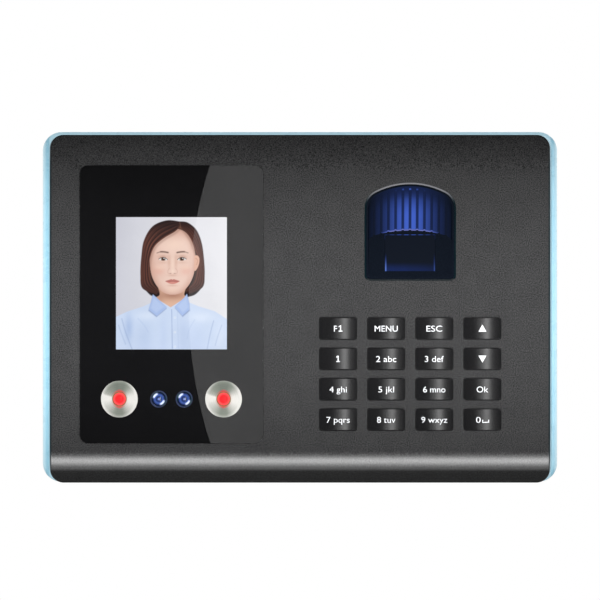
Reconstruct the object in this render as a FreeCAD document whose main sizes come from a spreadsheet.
import FreeCAD, Part
import math
import os
import re
import Sketcher

# Fingerprint scanner terminal for a wall, in millimetres.
# X runs to the right, Z up, and the front faces -Y. The wall is the plane y = 0, and the origin is
# the centre of the wall plate's back. A "depth" is a distance out from the wall: it lies at y = -depth.

SIZES = [
    # clearances
    ("cut_over", 1.0, "how far a cut runs past the surface it opens"),
    ("fit_gap", 0.1, "gap between neighbouring parts"),
    ("touch_gap", 0.05, "gap between parts that rest on each other"),
    # housing
    ("shell_width", 185.2, "front shell, side to side"),
    ("shell_height", 129.0, "front shell, bottom to top"),
    ("shell_corner", 4.9, "corner radius seen from the front"),
    ("shell_wall", 2.2, "wall of the front shell and the rear cover"),
    ("edge_round", 0.8, "rounding of the front shell's outer edge"),
    ("face_depth", 34.0, "flat front face"),
    ("rim_depth", 22.0, "front of the rim frame, where the shell ends"),
    ("cover_depth", 18.0, "front of the rear cover, where the rim frame starts"),
    ("roll_start", 50.0, "height at which the face rolls back"),
    ("roll_radius", 24.0, "radius of the rolled top"),
    ("bend_start", -52.0, "height at which the face bends into the chin"),
    ("bend_radius", 9.5, "radius of that bend"),
    ("chin_angle", 55.0, "slope of the chin, in degrees"),
    ("rim_width", 191.0, "rim frame, side to side"),
    ("rim_top", 65.7, "top of the rim frame"),
    ("rim_bottom", -64.2, "bottom of the rim frame"),
    ("rim_corner", 7.0, "corner radius of the rim frame"),
    ("rim_band", 8.0, "width of the rim frame's band"),
    ("rim_round", 1.4, "rounding of the rim frame's edges"),
    ("cover_width", 182.0, "rear cover, side to side"),
    ("cover_height", 123.2, "rear cover, bottom to top"),
    ("cover_back", 0.4, "gap between the wall and the rear cover"),
    ("cover_round", 3.0, "rounding of the rear cover's back edges"),
    ("cover_corner", 5.0, "corner radius of the rear cover"),
    ("rim_inside", 2.0, "corner radius inside the rim frame"),
    ("boss_meet", 20.0, "depth at which the case screw bosses meet"),
    # display panel
    ("panel_x", -47.6, "centre of the display window"),
    ("panel_z", 1.7, "centre of the display window"),
    ("panel_width", 68.2, "display window, side to side"),
    ("panel_height", 103.3, "display window, bottom to top"),
    ("panel_corner", 3.3, "corner radius of the display window"),
    ("panel_proud", 0.3, "height of the window above the face"),
    ("window_thick", 1.8, "thickness of the clear window"),
    ("mask_thick", 0.2, "thickness of the black mask"),
    ("gasket_thick", 0.5, "thickness of the foam gasket"),
    ("window_round", 0.3, "rounding of the window's front edge"),
    ("window_gap", 0.2, "gap around the window in its recess"),
    ("glue_gap", 0.02, "clearance in front of the gasket and behind it"),
    ("frame_wall", 2.5, "wall around the window's recess"),
    ("ledge_width", 5.1, "ledge that the window is glued to"),
    ("screen_z", 9.5, "centre of the screen"),
    ("screen_width", 41.3, "visible screen, side to side"),
    ("screen_height", 49.2, "visible screen, bottom to top"),
    ("lcd_gap", 0.2, "gap between the mask and the screen panel"),
    ("lcd_thick", 2.4, "thickness of the screen panel"),
    ("lcd_margin_x", 2.85, "dead margin at each side of the screen panel"),
    ("lcd_margin_z", 4.4, "dead margin at each end of the screen panel"),
    ("lcd_wall", 1.0, "side wall of the screen's metal frame"),
    ("lcd_back", 0.8, "back wall of that frame"),
    ("lcd_step", 0.3, "how far the panel stands out of the frame"),
    ("lamp_z", -33.4, "height of the lamps and cameras"),
    ("lamp_offset", 19.3, "from the panel's centre line to a lamp"),
    ("lamp_radius", 6.8, "open mouth of a lamp"),
    ("camera_offset", 4.7, "from the panel's centre line to a camera"),
    ("lamp_wall", 0.7, "rim of a reflector around its mouth"),
    ("lamp_cup_back", 2.7, "back of a reflector's cup, behind its mouth"),
    ("lamp_cone_end", 2.3, "where a reflector's cone ends, behind its mouth"),
    ("lamp_throat_r", 2.7, "radius of the hole for the light"),
    ("lamp_neck_r", 3.9, "outer radius of a reflector's neck"),
    ("lamp_neck_back", 5.0, "back of the neck, behind the mouth"),
    ("led_radius", 2.45, "radius of a lamp's light"),
    ("led_length", 4.0, "length of a lamp's light"),
    ("led_back", 5.9, "back of the light, behind the lamp's mouth"),
    ("led_round", 1.9, "rounding of the light's tip"),
    ("camera_radius", 3.2, "visible mouth of a camera"),
    ("barrel_radius", 4.2, "outer radius of a camera's barrel"),
    ("barrel_step", 0.5, "how far the barrel narrows inside its mouth"),
    ("barrel_bevel", 0.8, "depth of the bevel inside the mouth"),
    ("barrel_length", 5.9, "length of the barrel"),
    ("lens_radius", 2.6, "radius of a lens"),
    ("lens_front", 0.7, "front of the lens, behind the mouth"),
    ("lens_edge", 1.6, "edge of the lens, behind the mouth"),
    ("lens_back", 3.4, "back of the lens, behind the mouth"),
    ("lens_dome", 4.2, "radius of the lens's front"),
    ("holder_width", 56.0, "holder of the lamps and cameras, side to side"),
    ("holder_height", 17.0, "that holder, bottom to top"),
    ("holder_thick", 1.5, "thickness of that holder"),
    ("holder_back", 4.4, "back of that holder, behind the mouths"),
    ("camera_board_edge", 1.0, "how far the camera board reaches past the holder"),
    ("camera_board_back", 7.1, "back of the camera board, behind the mouths"),
    ("camera_board_thick", 1.2, "thickness of the camera board"),
    # finger niche
    ("niche_x", 40.8, "centre of the finger niche and of the keypad"),
    ("niche_z", 37.3, "springing line of the niche's arch"),
    ("arch_half", 16.35, "half the width of the niche's opening"),
    ("arch_rise", 8.9, "rise of the arch above its springing line"),
    ("arch_side", 6.5, "radius of the arch's side arcs"),
    ("niche_drop", 26.3, "from the springing line down to the niche's sill"),
    ("niche_corner", 1.5, "radius of the niche's lower corners"),
    ("niche_bevel", 0.6, "bevel around the niche's opening"),
    ("lip_wall", 0.8, "wall of the cowl's lip inside the opening"),
    ("lip_root", 0.5, "how far the lip reaches into the cowl's body"),
    ("ceiling_back", 10.5, "how far the ceiling runs back"),
    ("ceiling_drop", 17.6, "how far the ceiling drops on the way"),
    ("flute_pitch", 2.67, "spacing of the flutes on the ceiling"),
    ("flute_radius", 0.5, "radius of a flute"),
    ("flute_start", 0.6, "from the ceiling's front edge back to the flutes"),
    ("floor_rise", 1.2, "how far the floor runs on above the ceiling's end"),
    ("platen_tilt", 27.5, "lean of the platen, in degrees"),
    ("platen_front", 0.9, "depth of the platen plane at the sill, behind the face"),
    ("platen_rise", 3.0, "height of the sill below the glass"),
    ("platen_width", 18.7, "glass platen, side to side"),
    ("platen_length", 15.3, "glass platen along its slope"),
    ("platen_sunk", 0.15, "how far the glass lies below the floor"),
    ("prism_clear", 0.3, "how far the prism's opening is cut past the floor"),
    ("prism_reach", 14.0, "how deep the prism's opening is cut"),
    ("prism_thick", 5.5, "thickness of the glass prism"),
    ("prism_taper", 2.5, "how much each end of the prism narrows to the back"),
    ("cowl_width", 38.7, "body of the cowl, side to side"),
    ("cowl_back", 13.0, "back of the cowl, behind the face"),
    ("cowl_margin", 4.0, "how far the cowl reaches above and below the niche"),
    ("cowl_corner", 2.0, "corner radius of the cowl"),
    ("sensor_drop", 12.0, "from the springing line down to the sensor's middle"),
    ("sensor_height", 32.0, "sensor housing, bottom to top"),
    ("sensor_thick", 3.0, "thickness of the sensor housing"),
    ("sensor_wall", 2.0, "side wall of the sensor housing"),
    ("sensor_floor", 1.0, "back wall of the sensor housing"),
    ("strip_offset", 12.5, "from the sensor's middle to a light strip"),
    ("strip_width", 3.0, "light strip, side to side"),
    ("strip_height", 14.0, "light strip, bottom to top"),
    ("strip_thick", 1.6, "thickness of a light strip"),
    # keypad
    ("keypad_z", -24.1, "centre of the keypad"),
    ("key_pitch_x", 17.8, "column spacing"),
    ("key_pitch_z", 11.25, "row spacing"),
    ("key_width", 13.7, "key cap, side to side"),
    ("key_height", 8.1, "key cap, bottom to top"),
    ("key_corner", 1.0, "corner radius of a key cap"),
    ("key_crown", 0.9, "rise of a cap's middle above its sides"),
    ("key_proud", 0.5, "height of a cap's sides above the face"),
    ("key_gap", 0.3, "gap between a cap and its opening"),
    ("key_round", 0.3, "rounding of a cap's front edge"),
    ("key_travel", 1.0, "stroke of a key"),
    ("flange_edge", 1.0, "width of the flange that keeps a key in"),
    ("flange_gap", 0.2, "gap between that flange and the shell's wall"),
    ("flange_thick", 0.8, "thickness of that flange"),
    ("mat_thick", 1.0, "sheet of the silicone mat"),
    ("mat_margin_x", 8.5, "how far the mat reaches past the outer columns"),
    ("mat_margin_z", 5.5, "how far the mat reaches past the outer rows"),
    ("mat_corner", 1.5, "corner radius of the mat"),
    ("dome_radius", 3.6, "radius of a dome's foot"),
    ("dome_taper", 20.0, "lean of a dome's side, in degrees"),
    ("dome_hollow_r", 2.6, "radius of the hollow under a dome"),
    ("dome_hollow", 1.5, "depth of that hollow"),
    ("board_thick", 1.6, "thickness of the circuit boards"),
    ("board_corner", 1.0, "corner radius of the circuit boards"),
    ("keypad_board_depth", 25.2, "back of the keypad board"),
    ("keypad_board_width", 84.0, "keypad board, side to side"),
    ("keypad_board_height", 44.0, "keypad board, bottom to top"),
    ("keypad_screw_x", 38.5, "from the keypad's middle to a screw, across"),
    ("keypad_screw_z", 17.5, "from the keypad's middle to a screw, up"),
    ("keypad_post_r", 3.0, "radius of the keypad board's posts"),
    ("keypad_post_bore", 4.0, "depth of the screw holes in those posts"),
    # rear half
    ("plate_width", 120.0, "wall plate, side to side"),
    ("plate_height", 90.0, "wall plate, bottom to top"),
    ("plate_thick", 1.5, "wall plate"),
    ("mount_span_x", 100.0, "wall holes, side to side"),
    ("mount_span_z", 60.0, "wall holes, bottom to top"),
    ("mount_hole_r", 2.25, "radius of the wall holes"),
    ("plate_corner", 3.0, "corner radius of the wall plate"),
    ("recess_depth", 2.4, "floor of the recess for the wall plate"),
    ("recess_gap", 2.0, "gap between the plate and the side of its recess"),
    ("tab_width", 40.0, "width of the plate's bottom tab and its flange"),
    ("tab_root", 3.0, "how far the tab overlaps the plate"),
    ("flange_drop", 1.4, "from the cover's bottom down to the flange"),
    ("plate_flange_thick", 1.2, "thickness of the plate's flange"),
    ("plate_flange_depth", 13.0, "how far the flange stands out from the wall"),
    ("hook_x", 40.0, "from the centre line to a hook"),
    ("hook_z", 22.0, "from the middle to a row of hooks"),
    ("hook_width", 6.0, "width of a hook"),
    ("hook_thick", 1.5, "thickness of a hook's arm"),
    ("hook_out", 6.4, "how far a hook stands out from the wall"),
    ("hook_lip", 1.2, "thickness of a hook's upturned lip"),
    ("hook_lip_height", 4.0, "height of that lip"),
    ("hook_slot_width", 8.0, "slot for a hook, side to side"),
    ("hook_slot_height", 9.0, "slot for a hook, bottom to top"),
    ("hook_slot_drop", 3.5, "from a hook down to the middle of its slot"),
    ("lock_depth", 7.5, "depth of the lock screw's axis"),
    ("lock_boss_width", 9.0, "boss for the lock screw, side to side"),
    ("lock_boss_height", 8.0, "boss for the lock screw, bottom to top"),
    ("lock_boss_rise", 5.0, "from the cover's bottom up to the boss's middle"),
    ("lock_boss_front", 13.4, "front of the boss for the lock screw"),
    ("lock_hole_r", 1.6, "radius of the lock screw's hole in the boss"),
    ("lock_hole_deep", 7.5, "depth of that hole"),
    ("lock_clear_r", 1.7, "radius of the lock screw's hole in the flange"),
    ("lock_head_r", 2.8, "radius of the lock screw's head"),
    ("lock_head_thick", 1.15, "height of the lock screw's head"),
    ("lock_shank", 6.9, "reach of the lock screw into the cover"),
    ("case_screw_x", 83.0, "from the centre line to a case screw"),
    ("case_screw_z", 51.0, "from the middle to a case screw"),
    ("case_boss_r", 3.5, "radius of the case screw bosses"),
    ("cover_boss_r", 4.3, "radius of the rear cover's case screw bosses"),
    ("case_hole_r", 1.55, "radius of the case screw holes in the shell"),
    ("case_hole_deep", 8.0, "depth of those holes"),
    ("case_clear_r", 1.7, "radius of the case screw holes in the cover"),
    ("case_sink_r", 3.2, "radius of the recess for a case screw's head"),
    ("case_sink_depth", 6.0, "floor of that recess"),
    ("case_head_r", 3.0, "radius of a case screw's head"),
    ("case_screw_r", 1.45, "radius of the case screws"),
    ("case_screw_tip", 26.5, "depth of the tip of a case screw"),
    ("main_board_depth", 13.0, "back of the main board"),
    ("main_board_x", -30.0, "centre of the main board"),
    ("main_board_z", 4.5, "centre of the main board"),
    ("main_board_width", 98.0, "main board, side to side"),
    ("main_board_height", 81.0, "main board, bottom to top"),
    ("port_board_depth", 16.2, "back of the port board"),
    ("port_board_x", 51.0, "centre of the port board"),
    ("port_board_z", -50.0, "centre of the port board"),
    ("port_board_width", 50.0, "port board, side to side"),
    ("port_board_height", 18.0, "port board, bottom to top"),
    ("post_radius", 2.8, "radius of the posts for both boards"),
    ("post_bore", 5.0, "depth of the screw holes in the posts"),
    ("screw_hole_r", 1.2, "radius of the holes for the board screws"),
    ("board_hole_r", 1.4, "radius of the screw holes through the boards"),
    ("board_screw_r", 1.1, "radius of the board screws"),
    ("board_head_r", 2.1, "radius of a board screw's head"),
    ("board_screw_grip", 4.0, "reach of a board screw into its post"),
    ("head_height", 1.4, "height of a pan head, in shank radii"),
    ("cell_x", -4.0, "centre of the coin cell"),
    ("cell_z", 34.0, "centre of the coin cell"),
    ("cell_radius", 10.0, "radius of the coin cell"),
    ("cell_thick", 3.2, "thickness of the coin cell"),
    ("cell_gap", 0.2, "gap around the coin cell in its holder"),
    ("cell_wall", 1.0, "side wall of the cell holder"),
    ("cell_floor", 0.8, "floor of the cell holder"),
    ("cell_holder_thick", 3.4, "height of the cell holder"),
    ("usb_x", 40.0, "centre of the USB socket"),
    ("usb_depth", 13.2, "centre of the USB socket"),
    ("usb_width", 13.2, "shield of the USB socket, side to side"),
    ("usb_height", 5.8, "shield of the USB socket, wall side to front"),
    ("usb_length", 14.0, "length of the shield"),
    ("usb_wall", 0.4, "sheet metal of the shield"),
    ("usb_base", 1.0, "closed inner end of the shield"),
    ("tongue_width", 11.0, "tongue inside the USB socket, side to side"),
    ("tongue_thick", 1.8, "thickness of the tongue"),
    ("tongue_offset", 1.0, "from the socket's middle out to the tongue's"),
    ("tongue_start", 1.0, "from the cover's bottom up to the tongue"),
    ("jack_x", 60.0, "centre of the power jack"),
    ("jack_depth", 10.6, "centre of the power jack"),
    ("jack_width", 9.0, "power jack, side to side"),
    ("jack_height", 11.0, "power jack, wall side to front"),
    ("jack_length", 13.5, "length of the power jack"),
    ("jack_bore_r", 3.1, "radius of the jack's bore"),
    ("jack_bore_deep", 10.0, "how far the bore reaches above the cover's bottom"),
    ("pin_radius", 1.0, "radius of the jack's pin"),
    ("pin_start", 1.4, "from the cover's bottom up to the pin"),
    ("socket_inset", 0.4, "from the cover's bottom up to both sockets"),
    ("usb_open_x", 0.5, "gap beside the USB socket in the bottom wall"),
    ("usb_open_y", 0.8, "gap behind and before the USB socket"),
    ("jack_open", 0.3, "gap around the power jack in the bottom wall"),
    ("vent_x", 76.0, "from the centre line to the speaker and to the air slots"),
    ("speaker_z", -12.0, "centre of the loudspeaker"),
    ("speaker_width", 20.0, "loudspeaker, side to side"),
    ("speaker_height", 30.0, "loudspeaker, bottom to top"),
    ("speaker_corner", 9.8, "corner radius of the loudspeaker"),
    ("speaker_thick", 2.0, "basket of the loudspeaker"),
    ("magnet_radius", 7.0, "radius of the loudspeaker's magnet"),
    ("magnet_thick", 3.0, "height of the magnet"),
    ("sound_slot_pitch", 3.2, "spacing of the speaker slots"),
    ("sound_slot_width", 15.0, "length of a speaker slot"),
    ("sound_slot_height", 1.5, "height of a speaker slot"),
    ("air_slot_pitch", 6.0, "spacing of the air slots"),
    ("air_slot_width", 14.0, "length of an air slot"),
    ("air_slot_height", 1.8, "height of an air slot"),
    ("slot_round", 0.05, "flat left between the rounded ends of a slot's side"),
    ("cable_thick", 0.3, "thickness of the flat cables"),
]

doc = FreeCAD.newDocument("FingerprintTerminal")
sheet = doc.addObject("Spreadsheet::Sheet", "Sizes")


def fill_sheet():
    """Write each driving dimension on a row of its own: name, value under its alias, meaning."""
    for row, (alias, size, meaning) in enumerate(SIZES, start=1):
        sheet.set(f"A{row}", alias)
        sheet.set(f"B{row}", str(size))
        sheet.setAlias(f"B{row}", alias)
        sheet.set(f"C{row}", meaning)
    doc.recompute()


# ---------------------------------------------------------------- formulas


def formula(text):
    """Turn "shell_width / 2" into an expression on the sheet. Every alias holds an underscore."""
    return re.sub(r"[a-z]+(?:_[a-z]+)+", lambda alias: "Sizes." + alias.group(), str(text))


def value(text):
    """The present value of a formula."""
    return float(sheet.evalExpression(formula(text)))


def bind(thing, path, text):
    thing.setExpression(path, formula(text))


# ---------------------------------------------------------------- sketches and features


def new_body(name, place=("0", "0", "0")):
    """A PartDesign body whose Label is the sub-part's name, placed by three formulas."""
    body = doc.addObject("PartDesign::Body", name)
    body.Label = name
    body.AllowCompound = True
    for axis, text in zip("xyz", place):
        bind(body, f"Placement.Base.{axis}", text)
    return body


def new_sketch(body, plane, offset="0"):
    """A sketch on an origin plane of the body, moved along the plane's normal by a formula.

    On XZ the sketch's axes are X and Z, and its normal points to the front (-Y). On YZ they are
    Y and Z, and the normal is +X. On XY they are X and Y, and the normal is +Z.
    """
    sketch = body.newObject("Sketcher::SketchObject", "Sketch")
    support = [part for part in body.Origin.OriginFeatures if part.Role == plane + "_Plane"]
    sketch.AttachmentSupport = [(support[0], "")]
    sketch.MapMode = "FlatFace"
    bind(sketch, "AttachmentOffset.Base.z", offset)
    return sketch


def constrain(sketch, constraints, texts):
    """Add constraints and bind each to its formula."""
    indices = sketch.addConstraint(constraints)
    for index, text in zip(indices, texts):
        if text is not None:
            bind(sketch, f"Constraints[{index}]", text)


def arc_between(start, end, radius):
    """The shorter counter-clockwise arc from start to end."""
    chord = end - start
    middle = (start + end) * 0.5
    rise = math.sqrt(max(radius ** 2 - (chord.Length / 2) ** 2, 0))
    inward = FreeCAD.Vector(-chord.y, chord.x, 0).normalize()
    centre = middle + inward * rise
    first = math.atan2(start.y - centre.y, start.x - centre.x)
    last = math.atan2(end.y - centre.y, end.x - centre.x)
    return Part.ArcOfCircle(Part.Circle(centre, FreeCAD.Vector(0, 0, 1), radius), first, last)


def outline(sketch, corners):
    """Draw a closed counter-clockwise loop through corners (u, v), which are formulas.

    A corner (u, v, radius) starts an arc of that radius, bulging outwards, instead of a straight side.
    """
    points = [FreeCAD.Vector(value(corner[0]), value(corner[1]), 0) for corner in corners]
    ends = points[1:] + points[:1]
    edges = []
    for start, end, corner in zip(points, ends, corners):
        straight = len(corner) == 2
        shape = Part.LineSegment(start, end) if straight else arc_between(start, end, value(corner[2]))
        edges.append(sketch.addGeometry(shape))
    constraints, texts = [], []
    for edge, following, point, corner in zip(edges, edges[1:] + edges[:1], points, corners):
        constraints.append(Sketcher.Constraint("Coincident", edge, 2, following, 1))
        constraints.append(Sketcher.Constraint("DistanceX", -1, 1, edge, 1, point.x))
        constraints.append(Sketcher.Constraint("DistanceY", -1, 1, edge, 1, point.y))
        texts += [None, corner[0], corner[1]]
        if len(corner) == 3:
            constraints.append(Sketcher.Constraint("Radius", edge, value(corner[2])))
            texts.append(corner[2])
    constrain(sketch, constraints, texts)


def rectangle(sketch, width, height, corner="0", centre=("0", "0")):
    """A rectangle about a centre, with rounded corners where a corner radius is given."""
    left, right = f"{centre[0]} - ({width}) / 2", f"{centre[0]} + ({width}) / 2"
    low, high = f"{centre[1]} - ({height}) / 2", f"{centre[1]} + ({height}) / 2"
    if value(corner) == 0:
        outline(sketch, [(left, low), (right, low), (right, high), (left, high)])
        return
    outline(sketch, [
        (f"{left} + {corner}", low), (f"{right} - {corner}", low, corner),
        (right, f"{low} + {corner}"), (right, f"{high} - {corner}", corner),
        (f"{right} - {corner}", high), (f"{left} + {corner}", high, corner),
        (left, f"{high} - {corner}"), (left, f"{low} + {corner}", corner)])


def circle(sketch, radius, centre=("0", "0")):
    """A circle whose radius and centre are formulas."""
    place = FreeCAD.Vector(value(centre[0]), value(centre[1]), 0)
    edge = sketch.addGeometry(Part.Circle(place, FreeCAD.Vector(0, 0, 1), value(radius)))
    constraints = [
        Sketcher.Constraint("DistanceX", -1, 1, edge, 3, place.x),
        Sketcher.Constraint("DistanceY", -1, 1, edge, 3, place.y),
        Sketcher.Constraint("Radius", edge, value(radius))]
    constrain(sketch, constraints, [centre[0], centre[1], radius])


def pad(body, sketch, length, reverse=False, symmetric=False):
    """Raise a sketch into material: along its normal, against it, or to both sides."""
    feature = body.newObject("PartDesign::Pad", "Pad")
    feature.Profile = sketch
    bind(feature, "Length", length)
    feature.SideType = "Symmetric" if symmetric else "One side"
    feature.Reversed = reverse
    doc.recompute()
    return feature


def pocket(body, sketch, length, reverse=False, symmetric=False, along=None):
    """Cut a sketch out of the body, against its normal unless reversed, or along a given direction."""
    before = body.Shape.Volume
    feature = body.newObject("PartDesign::Pocket", "Pocket")
    feature.Profile = sketch
    bind(feature, "Length", length)
    feature.SideType = "Symmetric" if symmetric else "One side"
    feature.Reversed = reverse
    if along is not None:
        feature.UseCustomVector = True
        feature.Direction = along
    doc.recompute()
    if not body.Shape.Volume < before:
        raise RuntimeError(f"{body.Label}: {feature.Label} cuts nothing")
    return feature


def revolve(body, sketch):
    """Turn a sketch on the XY plane a full turn about the body's Y axis."""
    feature = body.newObject("PartDesign::Revolution", "Revolution")
    feature.Profile = sketch
    feature.ReferenceAxis = (sketch, ["V_Axis"])
    feature.Angle = 360
    doc.recompute()
    return feature


def soften(body, kind, size, wanted):
    """Fillet or chamfer the edges of the body's last feature that the test picks out."""
    base = body.Tip
    numbered = enumerate(base.Shape.Edges, start=1)
    names = [f"Edge{index}" for index, edge in numbered if wanted(edge.BoundBox)]
    if not names:
        raise RuntimeError(f"{body.Label}: no edge to soften")
    feature = body.newObject("PartDesign::" + kind, kind)
    feature.Base = (base, names)
    bind(feature, "Radius" if kind == "Fillet" else "Size", size)
    doc.recompute()
    return feature


def near(first, second, slack=0.01):
    return abs(first - second) < slack


# ---------------------------------------------------------------- simple shapes


def slab(body, width, height, depth, thick, corner="0", centre=("0", "0")):
    """Add a plate that faces the front: its back is at a depth, in the body's own frame."""
    sketch = new_sketch(body, "XZ", depth)
    rectangle(sketch, width, height, corner, centre)
    pad(body, sketch, thick)


def post(body, radius, depth, length, centre=("0", "0")):
    """Add a round post that grows to the front from a depth."""
    sketch = new_sketch(body, "XZ", depth)
    circle(sketch, radius, centre)
    pad(body, sketch, length)


def bore(body, radius, depth, length, centres):
    """Cut round holes from a depth towards the front."""
    sketch = new_sketch(body, "XZ", depth)
    for centre in centres:
        circle(sketch, radius, centre)
    pocket(body, sketch, length, reverse=True)


def cut_slab(body, width, height, depth, length, corner="0", centres=(("0", "0"),)):
    """Cut equal rectangular openings from a depth towards the front."""
    sketch = new_sketch(body, "XZ", depth)
    for centre in centres:
        rectangle(sketch, width, height, corner, centre)
    pocket(body, sketch, length, reverse=True)


def four_corners(across, up):
    """Centres at plus and minus two formulas."""
    return [(f"{sx}({across})", f"{sz}({up})") for sz in ("-", "") for sx in ("-", "")]


def turned(body, profile):
    """Turn a profile of (radius, depth) formulas about the axis that faces the front."""
    sketch = new_sketch(body, "XY")
    outline(sketch, [(radius, f"-({depth})") for radius, depth in profile])
    revolve(body, sketch)


# ---------------------------------------------------------------- front shell

ROLL_TOP = "face_depth - roll_radius + sqrt(roll_radius^2 - (shell_height/2 - roll_start)^2)"
ROLL_TOP_IN = ("face_depth - roll_radius + sqrt((roll_radius - shell_wall)^2"
               " - (shell_height/2 - shell_wall - roll_start)^2)")


def chin_point(inset):
    """Where the bend ends, on a surface that lies an inset inside the shell's face."""
    radius = f"(bend_radius - {inset})"
    depth = f"(face_depth - bend_radius + {radius} * cos(chin_angle))"
    height = f"(bend_start - {radius} * sin(chin_angle))"
    return depth, height


def chin_foot(inset):
    """Depth at which that surface's chin meets the bottom wall."""
    depth, height = chin_point(inset)
    return f"{depth} - ({height} + shell_height/2 - {inset}) * tan(chin_angle)"


def shell_section(sketch, inset, back, roll_end):
    """Section of the shell, from the bottom's back edge, up the face and back over the top."""
    chin_depth, chin_height = chin_point(inset)
    low, high = f"{inset} - shell_height/2", f"shell_height/2 - {inset}"
    outline(sketch, [
        (f"-({back})", high),
        (f"-({roll_end})", high, f"roll_radius - {inset}"),
        (f"{inset} - face_depth", "roll_start"),
        (f"{inset} - face_depth", "bend_start", f"bend_radius - {inset}"),
        (f"-({chin_depth})", chin_height),
        (f"-({chin_foot(inset)})", low),
        (f"-({back})", low)])


def crown_radius(shrink="0"):
    """Radius of the arch's long middle arc, which meets both side arcs smoothly."""
    return ("((arch_half^2 + arch_rise^2 - 2*arch_half*arch_side) / (2*(arch_rise - arch_side))"
            f" - {shrink})")


def arch(sketch, shrink="0"):
    """The niche's opening: straight sides, a three-centred arch on top, small lower corners."""
    half, rise = f"(arch_half - {shrink})", f"(arch_rise - {shrink})"
    side, corner = f"(arch_side - {shrink})", "niche_corner"
    floor = f"({shrink} - niche_drop)"
    crown = crown_radius(shrink)
    join_u = f"{crown}*({half} - {side})/({crown} - {side})"
    join_v = f"{side}*({crown} - {rise})/({crown} - {side})"
    outline(sketch, [
        (f"{corner} - {half}", floor), (f"{half} - {corner}", floor, corner),
        (half, f"{floor} + {corner}"), (half, "0", side),
        (join_u, join_v, crown), (f"-{join_u}", join_v, side),
        (f"-{half}", "0"), (f"-{half}", f"{floor} + {corner}", corner)])


def build_front_shell():
    body = new_body("front_shell")
    section = new_sketch(body, "YZ")
    shell_section(section, "0", "rim_depth", ROLL_TOP)
    pad(body, section, "shell_width", symmetric=True)

    trim = new_sketch(body, "XZ", "rim_depth - cut_over")
    rectangle(trim, "2*shell_width", "2*shell_height")
    rectangle(trim, "shell_width", "shell_height", "shell_corner")
    pocket(body, trim, "face_depth", reverse=True)

    back_y, side_x = -value("rim_depth"), value("shell_width/2")
    top_z, corner = value("shell_height/2"), value("shell_corner")

    def on_front_rim(box):
        reaches_side = near(box.XMax, side_x) or near(box.XMin, -side_x)
        reaches_end = near(box.ZMax, top_z) or near(box.ZMin, -top_z)
        in_front = box.YMin < back_y - 1
        runs_along = box.YLength > 0.5 and near(box.XLength, 0) and near(box.ZLength, 0)
        in_corner = box.XLength > 0.1 and box.XLength < corner + 1
        return in_front and not runs_along and (reaches_side or reaches_end or in_corner)

    soften(body, "Fillet", "edge_round", on_front_rim)

    hollow = new_sketch(body, "YZ")
    shell_section(hollow, "shell_wall", "rim_depth - cut_over", ROLL_TOP_IN)
    pocket(body, hollow, "shell_width - 2*shell_wall", symmetric=True)

    # Display: a frame behind the face, a recess for the glued window, an opening for what is behind.
    panel = ("panel_x", "panel_z")
    glued = "(window_thick + mask_thick + gasket_thick - panel_proud)"
    slab(body, "panel_width + 2*frame_wall", "panel_height + 2*frame_wall",
         f"face_depth - {glued} - shell_wall", f"{glued} + fit_gap", centre=panel)
    cut_slab(body, "panel_width + 2*window_gap", "panel_height + 2*window_gap", f"face_depth - {glued}",
             f"{glued} + cut_over", "(panel_corner + window_gap)", [panel])
    cut_slab(body, "panel_width - 2*ledge_width", "panel_height - 2*ledge_width", "rim_depth",
             "face_depth", centres=[panel])

    # Finger niche: an arched opening with a bevel.
    opening = new_sketch(body, "XZ", "rim_depth")
    opening.setExpression("AttachmentOffset.Base.x", formula("niche_x"))
    opening.setExpression("AttachmentOffset.Base.y", formula("niche_z"))
    arch(opening)
    pocket(body, opening, "face_depth", reverse=True)
    face_y, niche_x, niche_z = -value("face_depth"), value("niche_x"), value("niche_z")
    half, drop = value("arch_half"), value("niche_drop")

    def around_niche(box):
        inside = abs(box.Center.x - niche_x) < half + 0.1 and abs(box.Center.z - niche_z) < drop + 0.1
        return inside and near(box.YMin, face_y) and near(box.YMax, face_y)

    soften(body, "Chamfer", "niche_bevel", around_niche)

    # Sixteen key openings, from one.
    first = ("niche_x - 1.5*key_pitch_x", "keypad_z - 1.5*key_pitch_z")
    key_opening = new_sketch(body, "XZ", "rim_depth")
    rectangle(key_opening, "key_width + 2*key_gap", "key_height + 2*key_gap", "key_corner", first)
    single = pocket(body, key_opening, "face_depth", reverse=True)
    grid = body.newObject("PartDesign::LinearPattern", "KeyOpenings")
    grid.Originals = [single]
    grid.Direction = (key_opening, ["H_Axis"])
    bind(grid, "Length", "3*key_pitch_x")
    grid.Occurrences = 4
    grid.Direction2 = (key_opening, ["V_Axis"])
    bind(grid, "Length2", "3*key_pitch_z")
    grid.Occurrences2 = 4
    body.Tip = grid
    doc.recompute()

    # Bosses for the case screws, and posts for the keypad board.
    for centre in four_corners("case_screw_x", "case_screw_z"):
        post(body, "case_boss_r", "boss_meet + fit_gap", "face_depth - shell_wall - boss_meet", centre)
    bore(body, "case_hole_r", "boss_meet", "case_hole_deep", four_corners("case_screw_x", "case_screw_z"))
    board_front = "keypad_board_depth + board_thick"
    posts = keypad_screws()
    for centre in posts:
        post(body, "keypad_post_r", board_front, f"face_depth - shell_wall - ({board_front})", centre)
    bore(body, "screw_hole_r", board_front, "keypad_post_bore", posts)
    return body


def keypad_screws():
    """Centres of the keypad board's screws."""
    return [(f"niche_x {side} keypad_screw_x", f"keypad_z {end} keypad_screw_z")
            for end in "-+" for side in "-+"]


# ---------------------------------------------------------------- rim frame, rear cover, wall plate


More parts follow.
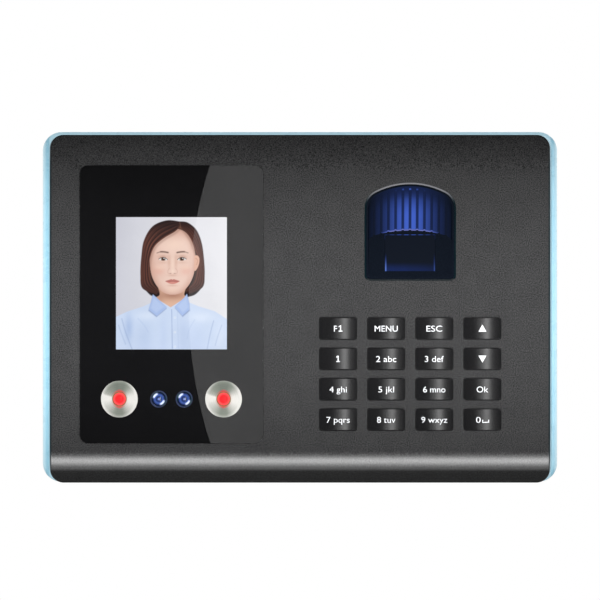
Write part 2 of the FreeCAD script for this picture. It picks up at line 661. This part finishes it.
def build_rim_frame():
    body = new_body("rim_frame", ("0", "-cover_depth", "(rim_top + rim_bottom)/2"))
    ring = new_sketch(body, "XZ")
    height = "(rim_top - rim_bottom)"
    rectangle(ring, "rim_width", height, "rim_corner")
    rectangle(ring, "rim_width - 2*rim_band", f"{height} - 2*rim_band", "rim_inside")
    pad(body, ring, "rim_depth - cover_depth")
    edge_x, edge_z, band = value("rim_width/2"), value(f"{height}/2"), value("rim_band")

    def outer(box):
        flat = near(box.YLength, 0)
        return flat and (abs(box.Center.x) > edge_x - band/2 or abs(box.Center.z) > edge_z - band/2)

    soften(body, "Fillet", "rim_round", outer)
    return body


def build_rear_cover():
    body = new_body("rear_cover")
    slab(body, "cover_width", "cover_height", "cover_back", "cover_depth - cover_back", "cover_corner")
    back_y = -value("cover_back")
    soften(body, "Fillet", "cover_round", lambda box: near(box.YMin, back_y) and near(box.YMax, back_y))
    cut_slab(body, "cover_width - 2*shell_wall", "cover_height - 2*shell_wall", "cover_back + shell_wall",
             "cover_depth", "(cover_corner - shell_wall)")

    # Recess for the wall plate, open at the bottom edge, with slots for the plate's hooks.
    high, low = "(plate_height/2 + 2*recess_gap)", "(-cover_height/2)"
    raised_low = f"({low} + shell_wall/2)"
    slab(body, "plate_width + 2*recess_gap + 2*shell_wall", f"{high} + shell_wall - {raised_low}",
         "cover_back + shell_wall", "recess_depth - cover_back",
         centre=("0", f"({high} + shell_wall + {raised_low})/2"))
    cut_slab(body, "plate_width + 2*recess_gap", f"{high} - {low} + 2*cut_over", "0", "recess_depth",
             centres=[("0", f"({high} + {low} - 2*cut_over)/2")])
    slots = [(x, f"{z} - hook_slot_drop") for x, z in four_corners("hook_x", "hook_z")]
    cut_slab(body, "hook_slot_width", "hook_slot_height", "0", "recess_depth + shell_wall + cut_over",
             centres=slots)

    # Boss for the lock screw, which comes up from below.
    boss_back = "(recess_depth + shell_wall/2)"
    slab(body, "lock_boss_width", "lock_boss_height", boss_back, f"lock_boss_front - {boss_back}",
         centre=("0", "-cover_height/2 + lock_boss_rise"))
    lock = new_sketch(body, "XY", "-cover_height/2 - cut_over")
    circle(lock, "lock_hole_r", ("0", "-lock_depth"))
    pocket(body, lock, "lock_hole_deep + cut_over", reverse=True)

    # Case screws, and posts for the main board and the port board.
    corners = four_corners("case_screw_x", "case_screw_z")
    root = "(cover_back + shell_wall/2)"
    for centre in corners:
        post(body, "cover_boss_r", root, f"boss_meet - {root}", centre)
    bore(body, "case_clear_r", "0", "boss_meet + cut_over", corners)
    bore(body, "case_sink_r", "0", "case_sink_depth", corners)
    boards = (("main_board_depth", main_board_screws()), ("port_board_depth", port_board_screws()))
    for board_back, centres in boards:
        for centre in centres:
            post(body, "post_radius", "recess_depth + fit_gap", f"{board_back} - recess_depth - fit_gap",
                 centre)
        bore(body, "screw_hole_r", f"{board_back} - post_bore", "post_bore + cut_over", centres)

    # Speaker slots on one side of the back, air slots on the other.
    through = "shell_wall + cut_over"
    sound_slots = [("vent_x", f"speaker_z + {step}*sound_slot_pitch") for step in range(-3, 4)]
    cut_slab(body, "sound_slot_width", "sound_slot_height", "0", through,
             "(sound_slot_height/2 - slot_round)", sound_slots)
    air_slots = [("-vent_x", f"{step}*air_slot_pitch") for step in range(-4, 5)]
    cut_slab(body, "air_slot_width", "air_slot_height", "0", through,
             "(air_slot_height/2 - slot_round)", air_slots)

    # Openings in the bottom wall for the two sockets.
    sockets = new_sketch(body, "XY", "-cover_height/2 - cut_over")
    rectangle(sockets, "usb_width + 2*usb_open_x", "usb_height + 2*usb_open_y",
              centre=("usb_x", "-usb_depth"))
    rectangle(sockets, "jack_width + 2*jack_open", "jack_height + 2*jack_open",
              centre=("jack_x", "-jack_depth"))
    pocket(body, sockets, "shell_wall + 2*cut_over", reverse=True)
    return body


def main_board_screws():
    """Centres of the main board's screws."""
    return [(x, z) for z in ("-31", "40") for x in ("-74", "14")]


def port_board_screws():
    """Centres of the port board's screws."""
    return [(x, "-46") for x in ("30", "72")]


def build_wall_plate():
    """Steel plate with four wall holes, four upturned hooks and a bottom flange for the lock screw."""
    body = new_body("wall_plate")
    slab(body, "plate_width", "plate_height", "0", "plate_thick", "plate_corner")
    high, low = "(tab_root - plate_height/2)", "(-cover_height/2 - flange_drop)"
    slab(body, "tab_width", f"{high} - {low}", "0", "plate_thick", centre=("0", f"({high} + {low})/2"))
    slab(body, "tab_width", "plate_flange_thick", "0", "plate_flange_depth",
         centre=("0", f"{low} + plate_flange_thick/2"))
    lock = new_sketch(body, "XY", f"{low} - cut_over")
    circle(lock, "lock_clear_r", ("0", "-lock_depth"))
    pocket(body, lock, "plate_flange_thick + 2*cut_over", reverse=True)
    bore(body, "mount_hole_r", "-cut_over", "plate_thick + 2*cut_over",
         four_corners("mount_span_x/2", "mount_span_z/2"))
    for x, z in four_corners("hook_x", "hook_z"):
        slab(body, "hook_width", "hook_thick", "plate_thick/2", "hook_out - plate_thick/2", centre=(x, z))
        slab(body, "hook_width", "hook_lip_height", "hook_out - hook_lip", "hook_lip",
             centre=(x, f"{z} + (hook_lip_height - hook_thick)/2"))
    return body


# ---------------------------------------------------------------- display group


def build_window():
    """Clear window with a softened front edge."""
    back = "(face_depth + panel_proud - window_thick)"
    body = new_body("display_window", ("panel_x", f"-{back}", "panel_z"))
    slab(body, "panel_width", "panel_height", "0", "window_thick", "panel_corner")
    front = -value("window_thick")
    soften(body, "Fillet", "window_round", lambda box: near(box.YMin, front) and near(box.YMax, front))
    return body


MASK_BACK = "(face_depth + panel_proud - window_thick - mask_thick)"


def build_mask():
    """Black print behind the window, open over the screen, the lamps and the cameras."""
    body = new_body("window_mask", ("panel_x", f"-{MASK_BACK}", "panel_z"))
    slab(body, "panel_width - 2*window_gap", "panel_height - 2*window_gap", "0", "mask_thick",
         "(panel_corner - window_gap)")
    through = ("-cut_over", "mask_thick + 2*cut_over")
    cut_slab(body, "screen_width", "screen_height", *through, centres=[("0", "screen_z - panel_z")])
    for side in "-+":
        bore(body, "lamp_radius", *through, [(f"0 {side} lamp_offset", "lamp_z - panel_z")])
        bore(body, "camera_radius", *through, [(f"0 {side} camera_offset", "lamp_z - panel_z")])
    return body


def build_gasket():
    """Foam ring between the mask and the ledge around the window's recess."""
    body = new_body("window_gasket", ("panel_x", f"-({MASK_BACK} - gasket_thick + glue_gap)", "panel_z"))
    slab(body, "panel_width - 3*window_gap", "panel_height - 3*window_gap", "0",
         "gasket_thick - 2*glue_gap", "(panel_corner - 1.5*window_gap)")
    cut_slab(body, "panel_width - 2*ledge_width + cut_over", "panel_height - 2*ledge_width + cut_over",
             "-cut_over", "gasket_thick + 2*cut_over")
    return body


LCD_FRONT = f"({MASK_BACK} - lcd_gap)"
LCD_WIDTH = "(screen_width + 2*lcd_margin_x)"
LCD_HEIGHT = "(screen_height + 2*lcd_margin_z)"


def build_lcd():
    """Screen panel in a shallow metal frame."""
    panel = new_body("lcd_panel", ("panel_x", f"-({LCD_FRONT} - lcd_thick)", "screen_z"))
    slab(panel, LCD_WIDTH, LCD_HEIGHT, "0", "lcd_thick")
    frame = new_body("lcd_frame", ("panel_x", f"-({LCD_FRONT} - lcd_thick - lcd_back)", "screen_z"))
    slab(frame, f"{LCD_WIDTH} + 2*lcd_wall", f"{LCD_HEIGHT} + 2*lcd_wall", "0",
         "lcd_thick + lcd_back - lcd_step", "lcd_back")
    cut_slab(frame, f"{LCD_WIDTH} + 2*fit_gap", f"{LCD_HEIGHT} + 2*fit_gap", "lcd_back - fit_gap",
             "lcd_thick + cut_over")
    return [panel, frame]


def build_optics():
    """Lamps and cameras, the holder that lines them up and the board behind them."""
    parts = []
    front = f"({MASK_BACK} - fit_gap)"
    for side, sign in (("left", "-"), ("right", "+")):
        lamp_place = (f"panel_x {sign} lamp_offset", f"-({front})", "lamp_z")
        cup = new_body(f"lamp_reflector_{side}", lamp_place)
        outside = "lamp_radius + fit_gap + lamp_wall"
        turned(cup, [
            ("lamp_radius + fit_gap", "0"), (outside, "0"), (outside, "-lamp_cup_back"),
            ("lamp_neck_r", "-lamp_cup_back"), ("lamp_neck_r", "-lamp_neck_back"),
            ("lamp_throat_r", "-lamp_neck_back"), ("lamp_throat_r", "-lamp_cone_end")])
        led = new_body(f"lamp_led_{side}", lamp_place)
        post(led, "led_radius", "-led_back", "led_length")
        tip_y = value("led_back - led_length")
        soften(led, "Fillet", "led_round", lambda box: near(box.YMin, tip_y) and near(box.YMax, tip_y))
        camera_place = (f"panel_x {sign} camera_offset", f"-({front})", "lamp_z")
        barrel = new_body(f"camera_barrel_{side}", camera_place)
        inside = "camera_radius - barrel_step"
        turned(barrel, [
            (inside, "-barrel_bevel"), ("camera_radius + fit_gap", "0"), ("barrel_radius", "0"),
            ("barrel_radius", "-barrel_length"), (inside, "-barrel_length")])
        lens = new_body(f"camera_lens_{side}", camera_place)
        dome = new_sketch(lens, "XY")
        outline(dome, [("0", "lens_front", "lens_dome"), ("lens_radius", "lens_edge"),
                       ("lens_radius", "lens_back"), ("0", "lens_back")])
        revolve(lens, dome)
        parts += [cup, led, barrel, lens]
    holder = new_body("optics_holder", ("panel_x", f"-({front} - holder_back)", "lamp_z"))
    slab(holder, "holder_width", "holder_height", "0", "holder_thick", "board_corner")
    through = ("-cut_over", "holder_thick + 2*cut_over")
    for sign in "-+":
        bore(holder, "lamp_neck_r + fit_gap", *through, [(f"0 {sign} lamp_offset", "0")])
        bore(holder, "barrel_radius + fit_gap", *through, [(f"0 {sign} camera_offset", "0")])
    board = new_body("camera_board", ("panel_x", f"-({front} - camera_board_back)", "lamp_z"))
    slab(board, "holder_width + 2*camera_board_edge", "holder_height + 2*camera_board_edge", "0",
         "camera_board_thick")
    return parts + [holder, board]


# ---------------------------------------------------------------- finger niche

NICHE = ("niche_x", "-face_depth", "niche_z")
SILL = "(-niche_drop)"
PLATEN_LOW = f"({SILL} + platen_rise)"
HOUSING_BACK = "(face_depth - cowl_back - sensor_thick)"


def platen_depth(height):
    """How far behind the face the platen plane lies at a height above the springing line."""
    return f"(platen_front + ({height} - {SILL}) * tan(platen_tilt))"


def build_cowl():
    """Arched niche: the arch runs back and down as a fluted ceiling, and ends on a leaning floor."""
    body = new_body("sensor_cowl", NICHE)
    slab(body, "cowl_width", "niche_drop + arch_rise + 2*cowl_margin", "-cowl_back",
         "cowl_back - shell_wall - fit_gap", "cowl_corner", ("0", "(arch_rise - niche_drop)/2"))
    lip = new_sketch(body, "XZ", "-shell_wall - lip_root")
    arch(lip, "fit_gap")
    pad(body, lip, "shell_wall + lip_root - niche_bevel")

    # The ceiling is the arch's own outline, cut obliquely.
    slope = FreeCAD.Vector(0, value("ceiling_back"), -value("ceiling_drop"))
    ceiling = new_sketch(body, "XZ", "-niche_bevel")
    arch(ceiling, "lip_wall")
    run = 2 * slope.Length * value("cowl_back/ceiling_back")
    pocket(body, ceiling, str(run), along=slope)

    # Flutes follow the ceiling from just behind its front edge.
    flutes = new_sketch(body, "XZ", "-niche_bevel - flute_start")
    crown = crown_radius("lip_wall")
    centre_z = f"(arch_rise - lip_wall - {crown} - flute_start*ceiling_drop/ceiling_back)"
    for step in range(-5, 6):
        across = f"{step}*flute_pitch"
        circle(flutes, "flute_radius", (across, f"{centre_z} + sqrt({crown}^2 - ({across})^2)"))
    pocket(body, flutes, str(run), along=slope)

    # The leaning floor fills the space under the platen plane, below the ceiling's back end.
    floor = new_sketch(body, "YZ")
    high, low = "(arch_rise - ceiling_drop + floor_rise)", f"({SILL} + lip_wall - fit_gap)"
    outline(floor, [
        (platen_depth(high), high), (platen_depth(low), low), ("cowl_back", low), ("cowl_back", high)])
    pad(body, floor, "2*(arch_half - lip_wall) + fit_gap", symmetric=True)

    # Opening for the prism, square to the floor.
    window = new_sketch(body, "YZ")
    run_y, run_z = "sin(platen_tilt)", "cos(platen_tilt)"
    low_y, low_z = platen_depth(PLATEN_LOW), PLATEN_LOW
    high_y = f"{low_y} + platen_length*{run_y}"
    high_z = f"{low_z} + platen_length*{run_z}"
    outline(window, [
        (f"{low_y} - prism_clear*{run_z}", f"{low_z} + prism_clear*{run_y}"),
        (f"{low_y} + prism_reach*{run_z}", f"{low_z} - prism_reach*{run_y}"),
        (f"{high_y} + prism_reach*{run_z}", f"{high_z} - prism_reach*{run_y}"),
        (f"{high_y} - prism_clear*{run_z}", f"{high_z} + prism_clear*{run_y}")])
    pocket(body, window, "platen_width", symmetric=True)
    return body


def build_sensor():
    """Glass prism on the platen's slope, and behind the cowl its housing, light strips and board."""
    prism = new_body("platen_prism", (
        "niche_x", f"-face_depth + {platen_depth(PLATEN_LOW)}", f"niche_z + {PLATEN_LOW}"))
    bind(prism, "Placement.Rotation.Axis.x", "1")
    bind(prism, "Placement.Rotation.Axis.z", "0")
    bind(prism, "Placement.Rotation.Angle", "-platen_tilt")
    section = new_sketch(prism, "YZ")
    outline(section, [
        ("platen_sunk", "fit_gap"), ("prism_thick", "prism_taper"),
        ("prism_thick", "platen_length - prism_taper"), ("platen_sunk", "platen_length - fit_gap")])
    pad(prism, section, "platen_width - 2*fit_gap", symmetric=True)

    middle = "niche_z - sensor_drop"
    housing = new_body("sensor_housing", ("niche_x", f"-{HOUSING_BACK}", middle))
    slab(housing, "cowl_width - 2*sensor_wall", "sensor_height", "0", "sensor_thick - fit_gap",
         "board_corner")
    cut_slab(housing, "cowl_width - 4*sensor_wall", "sensor_height - 2*sensor_wall", "sensor_floor",
             "sensor_thick")
    board = new_body("sensor_board", ("niche_x", f"-({HOUSING_BACK} - board_thick)", middle))
    slab(board, "cowl_width - 3*sensor_wall", "sensor_height - sensor_wall", "0", "board_thick - fit_gap")
    strips = new_body("sensor_leds", ("niche_x", f"-({HOUSING_BACK} + sensor_floor + fit_gap)", middle))
    for sign in "-+":
        slab(strips, "strip_width", "strip_height", "0", "strip_thick",
             centre=(f"0 {sign} strip_offset", "0"))
    return [prism, housing, board, strips]


# ---------------------------------------------------------------- keypad

KEY_ROWS = [
    ["key_7", "key_8", "key_9", "key_0"],
    ["key_4", "key_5", "key_6", "key_ok"],
    ["key_1", "key_2", "key_3", "key_down"],
    ["key_f1", "key_menu", "key_esc", "key_up"],
]
KEY_BACK = "(shell_wall + flange_gap)"
THROUGH_BOARD = ("-cut_over", "board_thick + 2*cut_over")
MAT_BACK = "(keypad_board_depth + board_thick)"


def key_places():
    """Each key's name with the formulas of its centre, from the bottom row up."""
    for row, names in enumerate(KEY_ROWS):
        for column, name in enumerate(names):
            yield name, f"(niche_x + {column - 1.5}*key_pitch_x)", f"(keypad_z + {row - 1.5}*key_pitch_z)"


def build_key(name, x, z):
    """A cap with a crown from side to side, a flange behind the shell's wall and a short plunger."""
    body = new_body(name, (x, "-face_depth", z))
    cap = new_sketch(body, "XY")
    crown_radius = "(key_width^2/4 + key_crown^2)/(2*key_crown)"
    outline(cap, [
        ("-key_width/2", "-key_proud", crown_radius), ("key_width/2", "-key_proud"),
        ("key_width/2", KEY_BACK), ("-key_width/2", KEY_BACK)])
    pad(body, cap, "key_height", symmetric=True)
    side, proud = value("key_width/2"), value("key_proud")

    def upright_corner(box):
        runs_along = box.YLength > proud and near(box.XLength, 0) and near(box.ZLength, 0)
        return runs_along and near(abs(box.XMax), side)

    soften(body, "Fillet", "key_corner", upright_corner)
    soften(body, "Fillet", "key_round", lambda box: box.YMin < 0.01 - proud and box.YMax < 0)
    slab(body, "key_width + 2*flange_edge", "key_height + 2*flange_edge", f"-{KEY_BACK} - flange_thick",
         "flange_thick")
    return body


def build_keypad():
    """Sixteen keys, the silicone mat with a dome behind each, and the board."""
    parts = [build_key(name, x, z) for name, x, z in key_places()]
    mat = new_body("keypad_mat", ("niche_x", f"-{MAT_BACK}", "keypad_z"))
    slab(mat, "3*key_pitch_x + 2*mat_margin_x", "3*key_pitch_z + 2*mat_margin_z", "0", "mat_thick",
         "mat_corner")
    dome = new_sketch(mat, "XZ", "mat_thick")
    first = ("-1.5*key_pitch_x", "-1.5*key_pitch_z")
    circle(dome, "dome_radius", first)
    rise = f"face_depth - {KEY_BACK} - flange_thick - {MAT_BACK} - mat_thick - touch_gap"
    single = pad(mat, dome, rise)
    bind(single, "TaperAngle", "-dome_taper")
    grid = mat.newObject("PartDesign::LinearPattern", "Domes")
    grid.Originals = [single]
    grid.Direction = (dome, ["H_Axis"])
    bind(grid, "Length", "3*key_pitch_x")
    grid.Occurrences = 4
    grid.Direction2 = (dome, ["V_Axis"])
    bind(grid, "Length2", "3*key_pitch_z")
    grid.Occurrences2 = 4
    mat.Tip = grid
    doc.recompute()
    centres = [(f"{x} - niche_x", f"{z} - keypad_z") for _, x, z in key_places()]
    bore(mat, "dome_hollow_r", "-fit_gap", "dome_hollow + fit_gap", centres)

    board = new_body("keypad_board", ("niche_x", "-keypad_board_depth", "keypad_z"))
    slab(board, "keypad_board_width", "keypad_board_height", "0", "board_thick - fit_gap", "board_corner")
    bore(board, "board_hole_r", *THROUGH_BOARD,
         [(f"{x} - niche_x", f"{z} - keypad_z") for x, z in keypad_screws()])
    return parts + [mat, board]


# ---------------------------------------------------------------- boards, sockets, small parts


BOARD_FRONT = "(main_board_depth + board_thick + touch_gap)"
CHIPS = [  # centre x and z, width, height, thickness
    ("-40", "12", "20", "20", "1.6"),
    ("-12", "14", "12", "8", "1.4"),
    ("-62", "20", "9", "14", "1.4"),
    ("-16", "-16", "7", "7", "1.2"),
    ("-60", "-14", "6", "9", "1.2"),
]


def build_main_board():
    """Main board with its chips and its coin cell."""
    board = new_body("main_board", ("0", "-main_board_depth", "0"))
    slab(board, "main_board_width", "main_board_height", "0", "board_thick", "board_corner",
         ("main_board_x", "main_board_z"))
    bore(board, "board_hole_r", *THROUGH_BOARD, main_board_screws())
    chips = new_body("board_chips", ("0", f"-{BOARD_FRONT}", "0"))
    for x, z, width, height, thick in CHIPS:
        slab(chips, width, height, "0", thick, centre=(x, z))
    holder = new_body("cell_holder", ("cell_x", f"-{BOARD_FRONT}", "cell_z"))
    post(holder, "cell_radius + cell_gap + cell_wall", "0", "cell_holder_thick")
    bore(holder, "cell_radius + cell_gap", "cell_floor", "cell_holder_thick", [("0", "0")])
    cell = new_body("coin_cell", ("cell_x", f"-({BOARD_FRONT} + cell_floor + touch_gap)", "cell_z"))
    post(cell, "cell_radius", "0", "cell_thick")
    return [board, chips, holder, cell]


def build_ports():
    """Port board with the USB socket and the power jack, which open through the cover's bottom wall."""
    board = new_body("port_board", ("0", "-port_board_depth", "0"))
    slab(board, "port_board_width", "port_board_height", "0", "board_thick", "board_corner",
         ("port_board_x", "port_board_z"))
    bore(board, "board_hole_r", *THROUGH_BOARD, port_board_screws())

    usb = new_body("usb_port", ("usb_x", "-usb_depth", "-cover_height/2"))
    shield = new_sketch(usb, "XY", "socket_inset")
    rectangle(shield, "usb_width", "usb_height")
    rectangle(shield, "usb_width - 2*usb_wall", "usb_height - 2*usb_wall")
    pad(usb, shield, "usb_length")
    tongue = new_sketch(usb, "XY", "tongue_start")
    rectangle(tongue, "tongue_width", "tongue_thick", centre=("0", "-tongue_offset"))
    pad(usb, tongue, "usb_length - usb_base")
    base = new_sketch(usb, "XY", "socket_inset + usb_length - usb_base")
    rectangle(base, "usb_width - usb_wall", "usb_height - usb_wall")
    pad(usb, base, "usb_base")

    jack = new_body("dc_jack", ("jack_x", "-jack_depth", "-cover_height/2"))
    block = new_sketch(jack, "XY", "socket_inset")
    rectangle(block, "jack_width", "jack_height")
    pad(jack, block, "jack_length")
    hollow = new_sketch(jack, "XY", "0")
    circle(hollow, "jack_bore_r")
    pocket(jack, hollow, "jack_bore_deep", reverse=True)
    pin = new_sketch(jack, "XY", "pin_start")
    circle(pin, "pin_radius")
    pad(jack, pin, "jack_bore_deep")
    return [board, usb, jack]


def build_speaker():
    """Small loudspeaker behind its slots in the rear cover."""
    body = new_body("speaker", ("vent_x", "-(cover_back + shell_wall + fit_gap)", "speaker_z"))
    slab(body, "speaker_width", "speaker_height", "0", "speaker_thick", "speaker_corner")
    post(body, "magnet_radius", "speaker_thick - fit_gap", "magnet_thick")
    return body


CABLES = [  # plane, middle of the cable, width, start, end, depth of the face it ends on
    ("YZ", "panel_x", "14", "-33", "-26", f"({MASK_BACK} - camera_board_back - fit_gap - touch_gap)"),
    ("YZ", "panel_x", "18", "-6", "2", f"({LCD_FRONT} - lcd_thick - lcd_back - touch_gap)"),
    ("YZ", "5", "10", "-30", "-22", "(keypad_board_depth - touch_gap)"),
    ("XY", "26", "10", "13", "32", f"({HOUSING_BACK} - board_thick - touch_gap)"),
]


def build_ribbons():
    """Flat cables that lie on the main board, rise, and end flat on another part."""
    body = new_body("ribbon_cables")
    foot = BOARD_FRONT
    for plane, offset, width, start, end, top in CABLES:
        middle = f"({start} + {end})/2"
        corners = [
            (start, foot), (f"{middle} + cable_thick", foot),
            (f"{middle} + cable_thick", f"{top} - cable_thick"), (end, f"{top} - cable_thick"),
            (end, top), (middle, top),
            (middle, f"{foot} + cable_thick"), (start, f"{foot} + cable_thick")]
        points = [(along, f"-({depth})") for along, depth in corners]
        if plane == "YZ":
            points = [(depth, along) for along, depth in points]
        section = new_sketch(body, plane, offset)
        outline(section, points)
        pad(body, section, width, symmetric=True)
    return body


# ---------------------------------------------------------------- screws


def screw(body, radius, head_radius, head_depth, tip_depth, centre):
    """A pan-head screw: its head lies against a face at head_depth, and its shank runs to tip_depth."""
    forward = value(tip_depth) > value(head_depth)
    head_length = f"head_height*{radius}"
    head_start = f"{head_depth} - {head_length}" if forward else head_depth
    shank_start = f"{head_depth} - fit_gap" if forward else tip_depth
    shank_length = f"abs({tip_depth} - ({head_depth})) + fit_gap"
    post(body, head_radius, head_start, head_length, centre)
    post(body, radius, shank_start, shank_length, centre)


def build_screws():
    """Screws of the case, of the boards, and the one that locks the terminal on its plate."""
    case = new_body("case_screws")
    for centre in four_corners("case_screw_x", "case_screw_z"):
        screw(case, "case_screw_r", "case_head_r", "case_sink_depth - touch_gap", "case_screw_tip",
              centre)
    boards = new_body("board_screws")
    backs = (("main_board_depth", main_board_screws()), ("port_board_depth", port_board_screws()))
    for board_back, centres in backs:
        for centre in centres:
            screw(boards, "board_screw_r", "board_head_r", f"{board_back} + board_thick + touch_gap",
                  f"{board_back} - board_screw_grip", centre)
    for centre in keypad_screws():
        screw(boards, "board_screw_r", "board_head_r", "keypad_board_depth - touch_gap",
              "keypad_board_depth + board_screw_grip", centre)
    lock = new_body("lock_screw", ("0", "-lock_depth", "-cover_height/2 - flange_drop"))
    head = new_sketch(lock, "XY", "-touch_gap - lock_head_thick")
    circle(head, "lock_head_r")
    pad(lock, head, "lock_head_thick")
    shank = new_sketch(lock, "XY", "-2*touch_gap")
    circle(shank, "case_screw_r")
    pad(lock, shank, "flange_drop + lock_shank")
    return [case, boards, lock]


# ---------------------------------------------------------------- the whole terminal


def check(parts):
    """Stop on any failed object, and on a sub-part whose shape is empty or not valid."""
    failed = [item.Label for item in doc.Objects if {"Invalid", "Error"} & set(item.State)]
    broken = [part.Label for part in parts if part.Shape.isNull() or not part.Shape.isValid()]
    if failed or broken:
        raise RuntimeError(f"failed objects: {failed}, broken shapes: {broken}")


def main():
    fill_sheet()
    parts = [build_front_shell(), build_rim_frame(), build_rear_cover(), build_wall_plate()]
    parts += [build_window(), build_mask(), build_gasket(), build_cowl()]
    parts += [build_speaker(), build_ribbons()]
    parts += build_lcd() + build_optics() + build_sensor() + build_keypad()
    parts += build_main_board() + build_ports() + build_screws()
    doc.recompute()
    check(parts)
    os.makedirs("parts", exist_ok=True)
    for part in parts:
        part.Shape.exportStep(f"parts/{part.Label}.step")
        box = part.Shape.BoundBox
        low, high = (box.XMin, box.YMin, box.ZMin), (box.XMax, box.YMax, box.ZMax)
        print(f"{part.Label:22} {len(part.Shape.Solids):3} solids {part.Shape.Volume / 1000:8.2f} cm3 ",
              [round(number, 1) for number in low], [round(number, 1) for number in high])


main()
